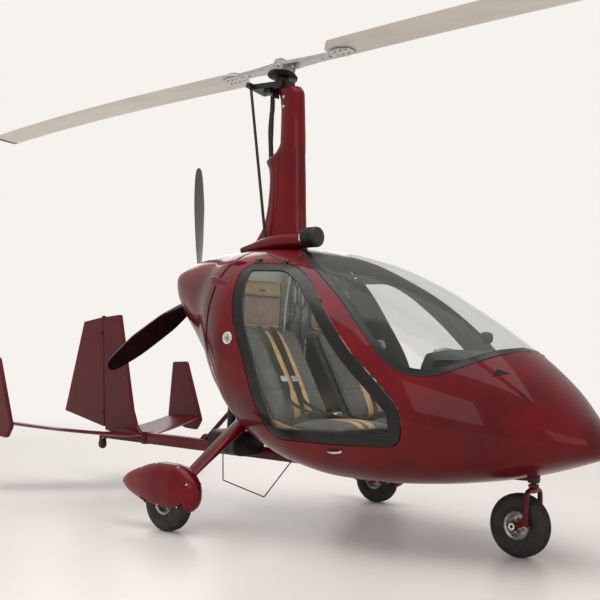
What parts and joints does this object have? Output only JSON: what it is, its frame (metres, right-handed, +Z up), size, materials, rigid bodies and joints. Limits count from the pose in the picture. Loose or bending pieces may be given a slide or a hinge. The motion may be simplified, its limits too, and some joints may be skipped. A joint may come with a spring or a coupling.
{
  "type": "gyrocopter",
  "caption": "Enclosed side-by-side gyrocopter with a free-turning rotor on a streamlined mast, a pusher propeller, tricycle gear, upward-opening doors and a low tail with outer fins.",
  "frame": {"origin": "on the floor, straight below the rotor's teeter point, at the middle of the craft's width", "axes": "+Y aft along the craft, so the nose points along -Y; +X to the craft's left side; +Z up"},
  "size_m": [1.97, 8.3395, 2.8992],
  "materials": {
    "body_paint": "gloss",
    "clear_acrylic": "clear",
    "grey_trim": "textured",
    "black_trim": "satin",
    "grey_leather": "grained",
    "tan_leather": "grained",
    "aluminium": "satin",
    "engine_alloy": "cast",
    "black_metal": "satin",
    "blade_paint": "gloss",
    "prop_composite": "gloss",
    "tyre_rubber": "moulded",
    "wire_steel": "brushed"
  },
  "bodies": {
    "airframe": {"fuselage_shell": "body_paint", "windscreen": "clear_acrylic", "engine_cowl": "body_paint", "firewall": "aluminium", "cabin_floor": "grey_trim", "centre_console": "grey_trim", "instrument_panel": "black_trim", "control_sticks": "black_metal", "rudder_pedals": "aluminium", "seat_shells": "black_trim", "seat_bottom_cushions": "grey_leather", "seat_back_cushions": "grey_leather", "headrests": "tan_leather", "engine_block": "engine_alloy", "muffler": "black_metal", "mast": "body_paint", "intake_duct": "body_paint", "air_filter": "black_trim", "rotor_head": "black_metal", "control_rods": "black_metal", "prerotator_shaft": "black_metal", "keel_boom": "body_paint", "boom_strut": "body_paint", "tail_beam": "body_paint", "stabiliser": "body_paint", "outer_fins": "body_paint", "tail_fin": "body_paint", "main_gear_bow": "body_paint", "wheel_spats": "body_paint", "nose_leg_tube": "black_metal", "fuel_filler": "aluminium", "belly_antenna": "wire_steel"},
    "rotor": {"rotor_hub": "blade_paint", "rotor_blades": "blade_paint"},
    "propeller": {"propeller_hub": "black_metal", "propeller_blades": "prop_composite"},
    "wheel_left": {"main_rim_left": "aluminium", "main_tyre_left": "tyre_rubber"},
    "wheel_right": {"main_rim_right": "aluminium", "main_tyre_right": "tyre_rubber"},
    "nose_fork": {"nose_fork": "body_paint", "nose_axle": "aluminium"},
    "nose_wheel": {"nose_rim": "aluminium", "nose_tyre": "tyre_rubber"},
    "door_left": {"door_frame_left": "black_trim", "door_window_left": "clear_acrylic"},
    "door_right": {"door_frame_right": "black_trim", "door_window_right": "clear_acrylic"},
    "rudder": {"rudder": "body_paint"},
    "tail_wheel": {"tail_wheel": "tyre_rubber"}
  },
  "joints": [
    {"name": "rotor_spin", "type": "hinge", "parent": "airframe", "child": "rotor", "pos_m": [0, 0, 2.75], "axis": [0.1389, -0.061, 0.9884], "continuous": true},
    {"name": "propeller_spin", "type": "hinge", "parent": "airframe", "child": "propeller", "pos_m": [0, 0.705, 1.315], "axis": [0, 1, 0], "continuous": true},
    {"name": "wheel_left_spin", "type": "hinge", "parent": "airframe", "child": "wheel_left", "pos_m": [0.905, -0.12, 0.1575], "axis": [1, 0, 0], "continuous": true},
    {"name": "wheel_right_spin", "type": "hinge", "parent": "airframe", "child": "wheel_right", "pos_m": [-0.905, -0.12, 0.1575], "axis": [1, 0, 0], "continuous": true},
    {"name": "nose_steer", "type": "hinge", "parent": "airframe", "child": "nose_fork", "pos_m": [0, -1.79, 0.35], "axis": [0, 0, 1], "range_deg": [-30, 30]},
    {"name": "nose_wheel_spin", "type": "hinge", "parent": "nose_fork", "child": "nose_wheel", "pos_m": [0, -1.72, 0.1575], "axis": [1, 0, 0], "continuous": true},
    {"name": "door_left_swing", "type": "hinge", "parent": "airframe", "child": "door_left", "pos_m": [0.43, -0.22, 1.493], "axis": [-0.0886, -0.9924, -0.0851], "range_deg": [0, 78]},
    {"name": "door_right_swing", "type": "hinge", "parent": "airframe", "child": "door_right", "pos_m": [-0.43, -0.22, 1.493], "axis": [-0.0886, 0.9924, 0.0851], "range_deg": [0, 78]},
    {"name": "rudder_swing", "type": "hinge", "parent": "airframe", "child": "rudder", "pos_m": [0, 1.663, 0.4], "axis": [0, 0.0887, 0.9961], "range_deg": [-25, 25]},
    {"name": "tail_wheel_spin", "type": "hinge", "parent": "airframe", "child": "tail_wheel", "pos_m": [0, 1.685, 0.275], "axis": [1, 0, 0], "continuous": true}
  ]
}
